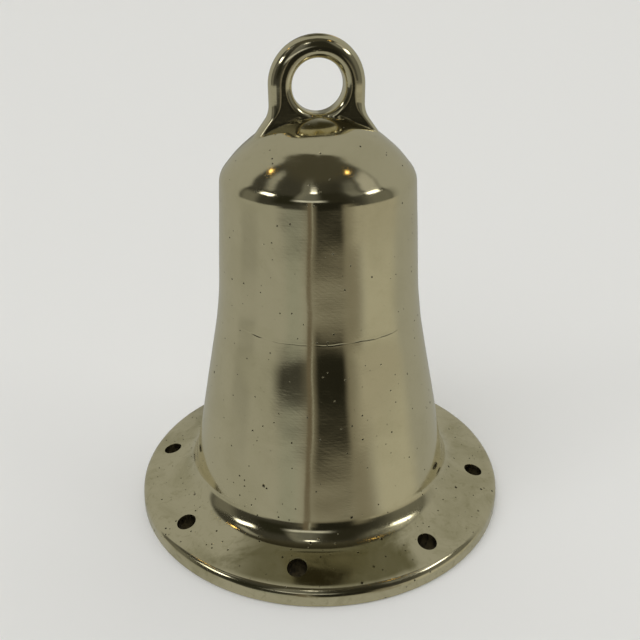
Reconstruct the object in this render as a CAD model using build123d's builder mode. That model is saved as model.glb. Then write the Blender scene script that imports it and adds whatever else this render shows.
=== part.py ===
"""Ship bell: one casting with a drilled flange and a crown eye, and a clapper hung inside it.

Millimetres. +Z is up, the mouth plane is Z = 0, the bell's axis is Z and the crown eye's bore runs along Y.
"""

import os
from math import cos, radians, tan

from build123d import *

# ---------------------------------------------------------------- bell casting: sizes that can be set
skirt_radius = 73.7  # outer skirt, carried down to the mouth plane
waist_radius = 51.5
waist_height = 113.0
barrel_length = 68.5  # waist to shoulder corner
shoulder_radius = 47.4
dome_rise = 26.0  # shoulder corner to the top of the dome
dome_angle = 45.0  # dome's side, from vertical
wall = 6.5
crown_thickness = 8.0
waist_round = 40.0
shoulder_round = 11.0
root_fillet = 13.5

flange_width = 26.3  # skirt line to rim, at the mouth plane
rim_height = 8.7  # rim corner, before it is rounded
rim_round = 4.5
flange_slope = 13.0  # top face, rising towards the skirt
edge_break = 0.6
lip_round = 1.5

bolt_count = 8
bolt_hole_radius = 4.75
bolt_edge = 13.0  # rim to hole centre
first_bolt_angle = 30.0  # from +X; the eye's bore is at 90

eye_bore_radius = 12.1
eye_band = 10.3  # bore to outside
eye_thickness = 13.5
eye_land = 4.0  # straight part of the bore
eye_above_dome = 1.2  # dome top to the lowest point of the bore
eye_flare = 12.0  # radius where a leg spreads into the dome
eye_flare_turn = 33.0
eye_flare_rise = 3.5  # the spread starts this far above the bore's lowest point
eye_root = 12.0  # how far each leg runs on into the dome

# ---------------------------------------------------------------- clapper hanging: sizes that can be set
boss_radius = 15.0
boss_depth = 10.0
stud_radius = 6.0
stud_engagement = 14.0
tap_runout = 1.5
lock_washer_radius = 10.5
lock_washer_thickness = 2.0
lock_washer_split = 1.6
lock_washer_split_turn = 20.0
lock_nut_flats = 19.0
lock_nut_height = 7.0

fork_top = 6.0
fork_corner = 2.0
cheek_thickness = 5.0
cheek_radius = 9.0
pin_radius = 4.0
pin_head_radius = 6.5
pin_head_thickness = 3.0
pin_tail = 5.5  # past the end washer
pin_chamfer = 0.7
split_pin_radius = 1.0
split_pin_eye = 2.4
split_pin_strap = 1.5
split_pin_bend = 3.5
split_pin_spread = 55.0
thrust_washer_radius = 8.5
thrust_washer_thickness = 1.2
end_washer_radius = 7.5
end_washer_thickness = 1.2

clapper_eye_radius = 10.5
clapper_eye_thickness = 11.0
clapper_eye_round = 2.0
bush_wall = 2.0
shank_top_radius = 4.4
shank_foot_radius = 5.6
shank_collar_radius = 7.6
shank_collar_height = 4.0
shank_thread_radius = 4.0
ball_radius = 18.0
ball_flat = 1.5  # cut off the ball at top and bottom
ball_washer_radius = 8.0
ball_washer_thickness = 1.5
ball_nut_flats = 14.0
ball_nut_height = 6.0
nut_bevel = 1.0
lanyard_hole_radius = 3.5
lanyard_band = 3.5
lanyard_thickness = 6.0
lanyard_neck_radius = 5.5
lanyard_neck_length = 6.0
lanyard_round = 1.0

# ---------------------------------------------------------------- clearances
running_gap = 0.05  # pin in its bush or in a cheek, radial
washer_gap = 0.3  # washer bore over a shaft, radial
side_gap = 0.3  # clapper eye to thrust washer
crotch_gap = 2.0  # clapper eye to the fork's inside
mouth_gap = 2.5  # clapper's lowest point above the mouth plane
thread_tip_gap = 1.0  # shank's end to the bottom of the lanyard eye's thread

# ---------------------------------------------------------------- worked out: casting
flange_radius = skirt_radius + flange_width
bolt_circle_radius = flange_radius - bolt_edge
skirt_slope = (skirt_radius - waist_radius) / waist_height
flange_rise = tan(radians(flange_slope))
root_height = (rim_height + flange_width * flange_rise) / (1 - skirt_slope * flange_rise)
root_radius = skirt_radius - root_height * skirt_slope

shoulder_height = waist_height + barrel_length
dome_height = shoulder_height + dome_rise
dome_tangent = tan(radians(dome_angle))
dome_corner_radius = shoulder_radius - dome_rise * dome_tangent
dome_half_turn = tan(radians(90 - dome_angle) / 2)
dome_round = 0.98 * dome_corner_radius / dome_half_turn

cavity_mouth_radius = skirt_radius - wall
cavity_waist_radius = waist_radius - wall
cavity_shoulder_radius = shoulder_radius - wall
cavity_height = dome_height - crown_thickness
cavity_shoulder_height = shoulder_height - wall * (1 / cos(radians(dome_angle)) - 1) / dome_tangent
cavity_dome_rise = cavity_height - cavity_shoulder_height
cavity_corner_radius = cavity_shoulder_radius - cavity_dome_rise * dome_tangent
cavity_round = 0.98 * cavity_corner_radius / dome_half_turn

eye_height = dome_height + eye_above_dome + eye_bore_radius
eye_radius = eye_bore_radius + eye_band
eye_round = min(0.46 * eye_band, (eye_thickness - eye_land) / 2)
flare_start = eye_height - eye_bore_radius + eye_flare_rise

# ---------------------------------------------------------------- worked out: hanging, from the crown down
boss_height = cavity_height - boss_depth
lock_washer_height = boss_height - lock_washer_thickness
fork_height = lock_washer_height - lock_nut_height
crotch_height = fork_height - fork_top
pivot_height = crotch_height - crotch_gap - clapper_eye_radius
cheek_inside = clapper_eye_thickness / 2 + side_gap + thrust_washer_thickness
cheek_outside = cheek_inside + cheek_thickness
pin_end = cheek_outside + end_washer_thickness + pin_tail
split_pin_place = cheek_outside + end_washer_thickness + split_pin_radius
split_pin_top = pivot_height + pin_radius + split_pin_radius
split_pin_bottom = pivot_height - pin_radius

# ---------------------------------------------------------------- worked out: clapper, from the mouth up
lanyard_radius = lanyard_hole_radius + lanyard_band
lanyard_height = mouth_gap + lanyard_radius
ball_nut_bottom = lanyard_height + lanyard_hole_radius + lanyard_neck_length
ball_washer_bottom = ball_nut_bottom + ball_nut_height
ball_bottom = ball_washer_bottom + ball_washer_thickness
ball_height = ball_bottom + ball_radius - ball_flat
ball_top = ball_height + ball_radius - ball_flat
shank_tip = lanyard_height + lanyard_hole_radius + thread_tip_gap + shank_thread_radius / 2
bush_radius = pin_radius + running_gap + bush_wall

os.makedirs("parts", exist_ok=True)


def save(builder, name):
    """Label a finished piece and write it as its own file."""
    builder.part.label = name
    export_step(builder.part, f"parts/{name}.step")


def hinge_plane(x):
    """The plane across the hinge pin at X = x, centred on the pin, with Y to its right and Z up."""
    return Plane(origin=(x, 0, pivot_height), x_dir=(0, 1, 0), z_dir=(1, 0, 0))


def washer_ring(plane, bore_radius, radius, thickness):
    """A plain washer round the plane's origin, rising from the plane along its normal."""
    with BuildPart() as washer:
        with BuildSketch(plane):
            Circle(radius)
            Circle(bore_radius, mode=Mode.SUBTRACT)
        extrude(amount=thickness)
    return washer


def hexagon_nut(flats, height, bore_radius, bottom):
    """A hexagon nut standing on Z = bottom, its corners turned down at both faces."""
    corner_radius = flats / 2 / cos(radians(30))
    with BuildPart() as nut:
        with BuildSketch(Plane.XY.offset(bottom)):
            RegularPolygon(flats / 2, 6, major_radius=False)
            Circle(bore_radius, mode=Mode.SUBTRACT)
        extrude(amount=height)
        with BuildSketch(Plane.XZ):
            with BuildLine():
                Polyline(
                    (0, bottom),
                    (flats / 2, bottom),
                    (corner_radius, bottom + nut_bevel),
                    (corner_radius, bottom + height - nut_bevel),
                    (flats / 2, bottom + height),
                    (0, bottom + height),
                    close=True,
                )
            make_face()
        revolve(axis=Axis.Z, mode=Mode.INTERSECT)
    return nut


# ---------------------------------------------------------------- crown eye, cast in one with the bell
with BuildPart() as crown_eye:
    # A round-topped lug whose legs spread into the dome.
    with BuildSketch(Plane.XZ):
        with BuildLine():
            crest = (0, eye_height + eye_radius)
            ThreePointArc((-eye_radius, eye_height), crest, (eye_radius, eye_height))
            for side in (1, -1):
                leg = Line((side * eye_radius, eye_height), (side * eye_radius, flare_start))
                flare = JernArc(leg @ 1, (0, -1), eye_flare, side * eye_flare_turn)
                foot = PolarLine(flare @ 1, eye_root, direction=flare % 1)
                Line(foot @ 1, (0, (foot @ 1).Y))
        make_face()
    extrude(amount=eye_thickness / 2, both=True)
    rims = faces().filter_by(Axis.Y).edges()
    fillet(rims.filter_by(lambda edge: edge.center().Z > shoulder_height + dome_rise / 2), eye_round)
    with BuildSketch(Plane.XZ.offset(-eye_thickness)):
        with Locations((0, eye_height)):
            Circle(eye_bore_radius)
    extrude(amount=2 * eye_thickness, mode=Mode.SUBTRACT)
    fillet(edges().filter_by(lambda edge: edge.geom_type == GeomType.CIRCLE and edge.is_closed), eye_round)

# ---------------------------------------------------------------- bell_casting
with BuildPart() as bell_casting:
    # Outside: dome, barrel, skirt and flange in one turned outline.
    with BuildSketch(Plane.XZ):
        with BuildLine():
            FilletPolyline(
                (0, dome_height),
                (dome_corner_radius, dome_height),
                (shoulder_radius, shoulder_height),
                (waist_radius, waist_height),
                (root_radius, root_height),
                (flange_radius, rim_height),
                (flange_radius, 0),
                radius=[dome_round, shoulder_round, waist_round, root_fillet, rim_round],
            )
            Polyline((flange_radius, 0), (0, 0), (0, dome_height))
        make_face()
    revolve(axis=Axis.Z)
    chamfer(edges().filter_by(GeomType.CIRCLE).group_by(Axis.Z)[0], edge_break)
    add(crown_eye.part)

    # Inside: the same outline, one wall smaller, open at the mouth.
    with BuildSketch(Plane.XZ):
        with BuildLine():
            FilletPolyline(
                (0, cavity_height),
                (cavity_corner_radius, cavity_height),
                (cavity_shoulder_radius, cavity_shoulder_height),
                (cavity_waist_radius, waist_height),
                (cavity_mouth_radius, 0),
                radius=[cavity_round, shoulder_round - wall / 2, waist_round],
            )
            Polyline((cavity_mouth_radius, 0), (0, 0), (0, cavity_height))
        make_face()
    revolve(axis=Axis.Z, mode=Mode.SUBTRACT)
    mouth_edges = edges().filter_by(GeomType.CIRCLE).group_by(Axis.Z)[0]
    fillet(mouth_edges.sort_by(SortBy.RADIUS)[0], lip_round)

    # Boss under the crown, tapped for the hanger's stud.
    with BuildSketch(Plane.XY.offset(boss_height)):
        Circle(boss_radius)
    extrude(amount=boss_depth + crown_thickness / 2)
    with BuildSketch(Plane.XY.offset(boss_height)):
        Circle(stud_radius)
    extrude(amount=stud_engagement + tap_runout, mode=Mode.SUBTRACT)

    # Bolt holes, square through the flange.
    with BuildSketch():
        with PolarLocations(bolt_circle_radius, bolt_count, start_angle=first_bolt_angle):
            Circle(bolt_hole_radius)
    extrude(amount=root_height + root_fillet, mode=Mode.SUBTRACT)
save(bell_casting, "bell_casting")

# ---------------------------------------------------------------- hanger: fork, lock washer, lock nut
with BuildPart() as hanger_clevis:
    with BuildSketch(Plane.XY.offset(crotch_height)):
        Rectangle(2 * cheek_outside, 2 * cheek_radius)
    extrude(amount=fork_top)
    for start in (-cheek_outside, cheek_inside):
        with BuildSketch(hinge_plane(start)):
            Circle(cheek_radius)
            with Locations((0, (crotch_height - pivot_height) / 2)):
                Rectangle(2 * cheek_radius, crotch_height - pivot_height)
        extrude(amount=cheek_thickness)
    fillet(faces().sort_by(Axis.Z)[-1].edges(), fork_corner)
    with BuildSketch(Plane.XY.offset(crotch_height + fork_top / 2)):
        Circle(stud_radius)
    extrude(amount=boss_height + stud_engagement - crotch_height - fork_top / 2)
    chamfer(faces().sort_by(Axis.Z)[-1].edges(), pin_chamfer)
    with BuildSketch(hinge_plane(-cheek_outside)):
        Circle(pin_radius + running_gap)
    extrude(amount=2 * cheek_outside, mode=Mode.SUBTRACT)
save(hanger_clevis, "hanger_clevis")

with BuildPart() as hanger_lock_washer:
    with BuildSketch(Plane.XY.offset(lock_washer_height)):
        Circle(lock_washer_radius)
        Circle(stud_radius + washer_gap, mode=Mode.SUBTRACT)
        with Locations((0, lock_washer_radius)):
            Rectangle(
                lock_washer_split, lock_washer_radius, rotation=lock_washer_split_turn, mode=Mode.SUBTRACT
            )
    extrude(amount=lock_washer_thickness)
save(hanger_lock_washer, "hanger_lock_washer")

hanger_lock_nut = hexagon_nut(lock_nut_flats, lock_nut_height, stud_radius, fork_height)
save(hanger_lock_nut, "hanger_lock_nut")

# ---------------------------------------------------------------- hinge: pin, washers, split pin
with BuildPart() as hinge_pin:
    with BuildSketch(hinge_plane(-cheek_outside)):
        Circle(pin_radius)
    extrude(amount=cheek_outside + pin_end)
    chamfer(faces().sort_by(Axis.X)[-1].edges(), pin_chamfer)
    with BuildSketch(hinge_plane(-cheek_outside - pin_head_thickness)):
        Circle(pin_head_radius)
    extrude(amount=pin_head_thickness)
    fillet(faces().sort_by(Axis.X)[0].edges(), pin_chamfer)
    with BuildSketch(Plane.XY.offset(pivot_height - pin_radius)):
        with Locations((split_pin_place, 0)):
            Circle(split_pin_radius)
    extrude(amount=2 * pin_radius, mode=Mode.SUBTRACT)
save(hinge_pin, "hinge_pin")

with BuildPart() as hinge_thrust_washers:
    for start in (-cheek_inside, cheek_inside - thrust_washer_thickness):
        with BuildSketch(hinge_plane(start)):
            Circle(thrust_washer_radius)
            Circle(pin_radius + washer_gap, mode=Mode.SUBTRACT)
        extrude(amount=thrust_washer_thickness)
save(hinge_thrust_washers, "hinge_thrust_washers")

hinge_end_washer = washer_ring(
    hinge_plane(cheek_outside), pin_radius + washer_gap, end_washer_radius, end_washer_thickness
)
save(hinge_end_washer, "hinge_end_washer")

with BuildPart() as hinge_split_pin:
    # Straight through the hinge pin, with a round eye above and two half-round legs spread below.
    split_plane = Plane(origin=(split_pin_place, 0, 0), x_dir=(0, 1, 0), z_dir=(1, 0, 0))
    with BuildSketch(Plane.XY.offset(split_pin_bottom)):
        with Locations((split_pin_place, 0)):
            Circle(split_pin_radius)
    extrude(amount=split_pin_top - split_pin_bottom)
    with BuildSketch(split_plane.offset(-split_pin_strap / 2)):
        with Locations((0, split_pin_top + split_pin_eye - split_pin_radius)):
            Circle(split_pin_eye)
            Circle(split_pin_eye - split_pin_radius, mode=Mode.SUBTRACT)
    extrude(amount=split_pin_strap)
    for side in (1, -1):
        with BuildSketch(Plane.XY.offset(split_pin_bottom)) as leg:
            with Locations((split_pin_place, 0)):
                Circle(split_pin_radius)
            with Locations((split_pin_place, -side * split_pin_radius)):
                Rectangle(3 * split_pin_radius, 2 * split_pin_radius, mode=Mode.SUBTRACT)
        bend = Axis((split_pin_place, side * split_pin_bend, split_pin_bottom), (side, 0, 0))
        revolve(leg.sketch, axis=bend, revolution_arc=split_pin_spread)
save(hinge_split_pin, "hinge_split_pin")

# ---------------------------------------------------------------- clapper: shank and bush
with BuildPart() as clapper_shank:
    with BuildSketch(hinge_plane(-clapper_eye_thickness / 2)):
        Circle(clapper_eye_radius)
    extrude(amount=clapper_eye_thickness)
    fillet(edges().filter_by(GeomType.CIRCLE), clapper_eye_round)
    with BuildSketch(Plane.XZ):
        with BuildLine():
            Polyline(
                (0, pivot_height),
                (shank_top_radius, pivot_height),
                (shank_foot_radius, ball_top + shank_collar_height),
                (shank_collar_radius, ball_top + shank_collar_height),
                (shank_collar_radius, ball_top),
                (shank_thread_radius, ball_top),
                (shank_thread_radius, shank_tip),
                (0, shank_tip),
                close=True,
            )
        make_face()
    revolve(axis=Axis.Z)
    chamfer(faces().sort_by(Axis.Z)[0].edges(), pin_chamfer)
    with BuildSketch(hinge_plane(-clapper_eye_thickness / 2)):
        Circle(bush_radius)
    extrude(amount=clapper_eye_thickness, mode=Mode.SUBTRACT)
save(clapper_shank, "clapper_shank")

clapper_bush = washer_ring(
    hinge_plane(-clapper_eye_thickness / 2), pin_radius + running_gap, bush_radius, clapper_eye_thickness
)
save(clapper_bush, "clapper_bush")

# ---------------------------------------------------------------- clapper: ball, washer, nut, lanyard eye
with BuildPart() as clapper_ball:
    with Locations((0, 0, ball_height)):
        Sphere(ball_radius)
    with BuildSketch(Plane.XY.offset(ball_bottom)):
        Circle(ball_radius)
    extrude(amount=ball_top - ball_bottom, mode=Mode.INTERSECT)
    with BuildSketch(Plane.XY.offset(ball_bottom)):
        Circle(shank_thread_radius)
    extrude(amount=ball_top - ball_bottom, mode=Mode.SUBTRACT)
save(clapper_ball, "clapper_ball")

ball_washer = washer_ring(
    Plane.XY.offset(ball_washer_bottom), shank_thread_radius + washer_gap, ball_washer_radius,
    ball_washer_thickness
)
save(ball_washer, "ball_washer")

ball_lock_nut = hexagon_nut(ball_nut_flats, ball_nut_height, shank_thread_radius, ball_nut_bottom)
save(ball_lock_nut, "ball_lock_nut")

with BuildPart() as lanyard_eye:
    with BuildSketch(Plane.YZ.offset(-lanyard_thickness / 2)):
        with Locations((0, lanyard_height)):
            Circle(lanyard_radius)
    extrude(amount=lanyard_thickness)
    fillet(edges().filter_by(GeomType.CIRCLE), lanyard_round)
    with BuildSketch(Plane.XY.offset(lanyard_height)):
        Circle(lanyard_neck_radius)
    extrude(amount=ball_nut_bottom - lanyard_height)
    with BuildSketch(Plane.XY.offset(shank_tip)):
        Circle(shank_thread_radius)
    extrude(amount=ball_nut_bottom - shank_tip, mode=Mode.SUBTRACT)
    with BuildSketch(Plane.YZ.offset(-lanyard_neck_radius)):
        with Locations((0, lanyard_height)):
            Circle(lanyard_hole_radius)
    extrude(amount=2 * lanyard_neck_radius, mode=Mode.SUBTRACT)
save(lanyard_eye, "lanyard_eye")
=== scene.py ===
# %% [markdown]
# # A polished ship bell
#
# The bell is one brass casting: a drilled flange, a flaring skirt, a short barrel and a domed crown with a
# lifting eye cast on top. A clapper hangs inside it. The engineering model is loaded first and stays as it
# is. It says where everything is and how the clapper swings, and each visible finish is built around it.

from math import acos, ceil, cos, pi, radians, sin, tan

import bmesh
import bpy
import numpy as np
from mathutils import Matrix, Vector


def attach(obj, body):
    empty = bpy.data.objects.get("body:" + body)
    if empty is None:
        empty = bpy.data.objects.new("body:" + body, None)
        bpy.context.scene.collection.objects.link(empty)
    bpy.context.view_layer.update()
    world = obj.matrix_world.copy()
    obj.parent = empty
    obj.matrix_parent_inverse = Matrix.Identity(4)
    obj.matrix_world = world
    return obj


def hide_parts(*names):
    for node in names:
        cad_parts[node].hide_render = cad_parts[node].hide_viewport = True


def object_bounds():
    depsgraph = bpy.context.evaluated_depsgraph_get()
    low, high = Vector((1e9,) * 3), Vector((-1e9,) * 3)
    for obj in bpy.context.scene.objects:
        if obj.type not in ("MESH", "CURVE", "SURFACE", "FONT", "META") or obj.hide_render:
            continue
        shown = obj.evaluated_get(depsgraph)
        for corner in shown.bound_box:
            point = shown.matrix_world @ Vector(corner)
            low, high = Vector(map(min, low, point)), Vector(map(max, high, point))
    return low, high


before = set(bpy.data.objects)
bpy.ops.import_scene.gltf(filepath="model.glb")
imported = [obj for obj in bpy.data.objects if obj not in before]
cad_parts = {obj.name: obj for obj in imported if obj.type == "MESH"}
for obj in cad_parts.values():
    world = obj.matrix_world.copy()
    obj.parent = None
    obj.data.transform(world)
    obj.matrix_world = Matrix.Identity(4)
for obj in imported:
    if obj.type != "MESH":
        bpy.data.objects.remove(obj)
cad_box = [list(corner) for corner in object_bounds()]
mm = 0.001

# %% [markdown]
# ## The camera
#
# The bell is seen from a little above and from 7.8 degrees to one side of the eye's bore, so that the bore
# reads as a ring and the flange as a broad ellipse. A camera is aimed most simply with its own angles:
# a tilt from straight down, a turn about the vertical and a trace of roll.

# %% Camera
view_turn = radians(7.8)
towards_camera = Vector((-sin(view_turn), -cos(view_turn), 0))
camera_right = Vector((cos(view_turn), -sin(view_turn), 0))
camera_distance = 367.6 * mm
camera_height = 282.4 * mm
camera_side = 0.6 * mm
camera_tilt = radians(63.7)
camera_roll = radians(-0.29)
focal_length = 43.875

camera_data = bpy.data.cameras.new("bell_camera")
camera_data.lens = focal_length
camera_data.sensor_width = 36
camera_data.clip_start = 10 * mm
camera = bpy.data.objects.new("bell_camera", camera_data)
bpy.context.scene.collection.objects.link(camera)
camera.location = towards_camera * camera_distance + camera_right * camera_side
camera.location.z = camera_height
aim = Matrix.Rotation(-view_turn, 3, "Z") @ Matrix.Rotation(camera_tilt, 3, "X")
camera.rotation_euler = (aim @ Matrix.Rotation(camera_roll, 3, "Z")).to_euler()
bpy.context.scene.camera = camera
print("camera at", [round(v, 4) for v in camera.location])

# %% [markdown]
# ## Small tools for node trees
#
# Every finish here is made of nodes, and writing them out by hand hides the idea behind the wiring. Three
# helpers keep it readable: one adds a node and plugs in its inputs, one does a sum or a product, and one
# makes a node group with named sockets, so that an effect is built once and used in many finishes.

# %% Node helpers
def add_node(tree, kind, inputs=None, **settings):
    """Add a node. Inputs are numbers, colours or other nodes' sockets, by name or by place."""
    node = tree.nodes.new(kind)
    for key, value in settings.items():
        setattr(node, key, value)
    for key, value in (inputs or {}).items():
        if isinstance(value, bpy.types.NodeSocket):
            tree.links.new(value, node.inputs[key])
        else:
            node.inputs[key].default_value = value
    return node


def calculate(tree, operation, *values, clamp=False):
    """One Math node: the operation on one, two or three values."""
    node = add_node(tree, "ShaderNodeMath", dict(enumerate(values)), operation=operation, use_clamp=clamp)
    return node.outputs[0]


def smooth_step(tree, value, low, high, to_low=0.0, to_high=1.0):
    """A soft change from to_low to to_high while value goes from low to high."""
    inputs = {"Value": value, "From Min": low, "From Max": high, "To Min": to_low, "To Max": to_high}
    return add_node(tree, "ShaderNodeMapRange", inputs, interpolation_type="SMOOTHSTEP").outputs["Result"]


def mix_colours(tree, share, first, second, blend="MIX"):
    """Blend two colours by a share from 0 to 1."""
    node = add_node(tree, "ShaderNodeMix", data_type="RGBA", blend_type=blend)
    for socket, value in ((node.inputs[0], share), (node.inputs[6], first), (node.inputs[7], second)):
        if isinstance(value, bpy.types.NodeSocket):
            tree.links.new(value, socket)
        else:
            socket.default_value = value
    return node.outputs[2]


def node_group(name, inputs, outputs):
    """An empty node group. Inputs are (name, socket kind, default); outputs are (name, socket kind)."""
    tree = bpy.data.node_groups.new(name, "ShaderNodeTree")
    for label, kind, default in inputs:
        socket = tree.interface.new_socket(label, in_out="INPUT", socket_type=kind)
        if default is not None:
            socket.default_value = default
    for label, kind in outputs:
        tree.interface.new_socket(label, in_out="OUTPUT", socket_type=kind)
    return tree, tree.nodes.new("NodeGroupInput").outputs, tree.nodes.new("NodeGroupOutput").inputs


def use_group(tree, group, **values):
    """Place a group in a tree. Values go to the sockets of the same name, with _ for a space."""
    node = tree.nodes.new("ShaderNodeGroup")
    node.node_tree = group
    for key, value in values.items():
        socket = node.inputs[key.replace("_", " ")]
        if isinstance(value, bpy.types.NodeSocket):
            tree.links.new(value, socket)
        else:
            socket.default_value = value
    return node.outputs


NUMBER = "NodeSocketFloat"
VECTOR = "NodeSocketVector"

# %% [markdown]
# ## The studio
#
# Polished brass has hardly any colour of its own. What the eye reads as brass is the room: a pale tent all
# round, a dim opening in front where the camera stands, and a few lamps and strips of light. So the studio
# is painted on the world by direction, as soft-edged windows laid over a pale tent. Each window has its
# middle and half width as a compass angle and as a height angle, and its own brightness. The camera itself
# sees only a plain backdrop.

# %% Soft window group
window_group, given, put = node_group(
    "soft_window",
    [("Value", NUMBER, 0.0), ("Middle", NUMBER, 0.0), ("Half Width", NUMBER, 10.0), ("Edge", NUMBER, 5.0)],
    [("Mask", NUMBER)],
)
off_middle = calculate(window_group, "SUBTRACT", given["Value"], given["Middle"])
off_middle = calculate(window_group, "ABSOLUTE", off_middle)
inside_edge = calculate(window_group, "SUBTRACT", given["Half Width"], given["Edge"])
outside_edge = calculate(window_group, "ADD", given["Half Width"], given["Edge"])
window_mask = smooth_step(window_group, off_middle, inside_edge, outside_edge, 1.0, 0.0)
window_group.links.new(window_mask, put["Mask"])
print("group", window_group.name)

# %% Studio: the direction as two angles
world = bpy.data.worlds.new("studio")
world.use_nodes = True
bpy.context.scene.world = world
sky = world.node_tree
sky.nodes.clear()
direction = add_node(sky, "ShaderNodeTexCoord").outputs["Generated"]


def along(axis):
    """How far the direction points along an axis, from -1 to 1."""
    inputs = {0: direction, 1: tuple(axis)}
    return add_node(sky, "ShaderNodeVectorMath", inputs, operation="DOT_PRODUCT").outputs["Value"]


to_degrees = 180 / pi
compass = calculate(sky, "ARCTAN2", along(camera_right), along(towards_camera))
compass = calculate(sky, "MULTIPLY", compass, to_degrees)
height = calculate(sky, "MULTIPLY", calculate(sky, "ARCSINE", along((0, 0, 1))), to_degrees)
from_back = calculate(sky, "SUBTRACT", 180.0, calculate(sky, "ABSOLUTE", compass))

# %% Studio: the tent and its windows
tent_light = (0.335, 0.335, 0.30, 1)
dim_room = (0.045, 0.044, 0.037, 1)
dark_room = (0.016, 0.0155, 0.011, 1)
back_room = (0.036, 0.032, 0.015, 1)
grey_wall = (0.15, 0.148, 0.125, 1)
panel_light = (0.17, 0.17, 0.15, 1)
bright_panel = (0.40, 0.395, 0.36, 1)
brown_stripe = (0.135, 0.115, 0.085, 1)
white_lamp = (4.0, 4.0, 3.8, 1)
warm_lamp = (6.0, 3.9, 1.2, 1)

# name, what is measured, (middle, half width, edge) of the compass angle, the same of the height, light
studio_windows = [
    ("low right, bright", compass, (71, 22, 10), (-16, 18, 8), (0.42, 0.41, 0.345, 1)),
    ("low right, grey", compass, (38, 9, 7), (-16, 18, 8), (0.24, 0.225, 0.185, 1)),
    ("low left, green", compass, (-27, 9, 7), (-14, 18, 8), (0.30, 0.31, 0.275, 1)),
    ("front room", compass, (-3, 96, 3), (38, 50, 2), dim_room),
    ("roof", compass, (-3, 99, 4), (77, 14, 7), (0.062, 0.058, 0.042, 1)),
    ("back, middle", from_back, (0, 17, 8), (46, 14, 8), back_room),
    ("left wall", compass, (-84, 12, 6), (6, 20, 8), grey_wall),
    ("right wall", compass, (76, 20, 12), (9, 20, 8), grey_wall),
    ("front middle", compass, (14, 24, 9), (24, 36, 9), (0.024, 0.023, 0.016, 1)),
    ("back, low", compass, (-173, 9, 7), (14, 24, 9), panel_light),
    ("left dark", compass, (-38, 14, 7), (22, 20, 8), (0.02, 0.02, 0.013, 1)),
    ("left grey", compass, (-19, 9, 5), (46, 18, 8), panel_light),
    ("right panel", compass, (52, 9, 5), (45, 11, 6), panel_light),
    ("right bright panel", compass, (79, 12, 4), (46, 10, 4), bright_panel),
    ("left bright panel", compass, (-76, 6, 3), (53, 8, 4), (0.30, 0.30, 0.27, 1)),
    ("camera shade", compass, (13, 24, 12), (-8, 12, 5), (0.20, 0.185, 0.145, 1)),
    ("camera stand", compass, (12, 16, 4), (0, 15.0, 4.0), dark_room),
    ("right low wall", compass, (68, 32, 10), (-11, 3.5, 2.0), (0.37, 0.355, 0.295, 1)),
    ("left low wall", compass, (-76, 32, 8), (-11, 3.5, 2.0), (0.32, 0.32, 0.28, 1)),
    ("brown stripe", compass, (-9.5, 2.6, 1.2), (4, 26, 8), brown_stripe),
    ("strip light, thin", compass, (-7.0, 0.6, 0.5), (2, 17, 3), (0.32, 0.32, 0.28, 1)),
    ("strip light, low", compass, (-10, 15, 9), (22, 4, 3), (0.75, 0.76, 0.74, 1)),
    ("strip light, high", compass, (-9, 9, 7), (40, 16, 10), (0.13, 0.132, 0.12, 1)),
    ("white lamp, left", compass, (-66, 8, 3), (33, 4, 2.5), white_lamp),
    ("white lamp, right", compass, (73, 9, 3), (34, 4, 2.5), white_lamp),
    ("white lamp, middle", compass, (-8, 5, 2), (58, 2.0, 1.5), (2.4, 2.4, 2.3, 1)),
    ("warm lamp, left", compass, (-93.4, 2.0, 0.9), (52.3, 1.4, 0.7), warm_lamp),
    ("warm lamp, right", compass, (70.7, 2.4, 1.1), (64, 1.3, 0.7), warm_lamp),
    ("warm lamp, back", compass, (168, 4, 3), (20, 4, 3), (0.9, 0.7, 0.42, 1)),
]
light = tent_light
for _, measured, across, up, colour in studio_windows:
    masks = []
    for value, (middle, half_width, edge) in ((measured, across), (height, up)):
        window = use_group(sky, window_group, Value=value, Middle=middle, Half_Width=half_width, Edge=edge)
        masks.append(window["Mask"])
    share = calculate(sky, "MULTIPLY", *masks)
    light = mix_colours(sky, share, light, colour)
backdrop = (0.80, 0.80, 0.79, 1)
seen_by_camera = add_node(sky, "ShaderNodeLightPath").outputs["Is Camera Ray"]
shown = mix_colours(sky, seen_by_camera, light, backdrop)
background = add_node(sky, "ShaderNodeBackground", {"Color": shown, "Strength": 1.0})
world_output = add_node(sky, "ShaderNodeOutputWorld")
sky.links.new(background.outputs[0], world_output.inputs[0])
bpy.context.scene.view_settings.view_transform = "Standard"
print("studio windows", len(studio_windows))

# %% Floor and soft light
def studio_floor():
    """A wide pale floor with no far edge in sight. The polished sides see the painted tent in its place."""
    mesh = bpy.data.meshes.new("studio_floor")
    reach = 60.0
    corners = [(-reach, -reach, 0), (reach, -reach, 0), (reach, reach, 0), (-reach, reach, 0)]
    mesh.from_pydata(corners, [], [(0, 1, 2, 3)])
    floor = bpy.data.objects.new("studio_floor", mesh)
    bpy.context.scene.collection.objects.link(floor)
    paper = bpy.data.materials.new("floor_paper")
    paper.use_nodes = True
    shader = paper.node_tree.nodes["Principled BSDF"]
    shader.inputs["Base Color"].default_value = (0.80, 0.80, 0.79, 1)
    shader.inputs["Roughness"].default_value = 0.9
    shader.inputs["Specular IOR Level"].default_value = 0.1
    mesh.materials.append(paper)
    floor.visible_glossy = False
    return floor


def soft_light(name, tilt, turn, spread, power):
    """A far soft light. It lights the floor evenly, and isn't mirrored in the brass."""
    data = bpy.data.lights.new(name, "SUN")
    data.angle = radians(spread)
    data.energy = power
    lamp = bpy.data.objects.new(name, data)
    bpy.context.scene.collection.objects.link(lamp)
    lamp.rotation_euler = (radians(tilt), 0, radians(turn))
    lamp.visible_glossy = False
    return lamp


studio_floor()
soft_light("key_light", 35, -40, 70, 1.6)
soft_light("fill_light", 30, 140, 90, 0.9)
print("floor and lights ready")

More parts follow.
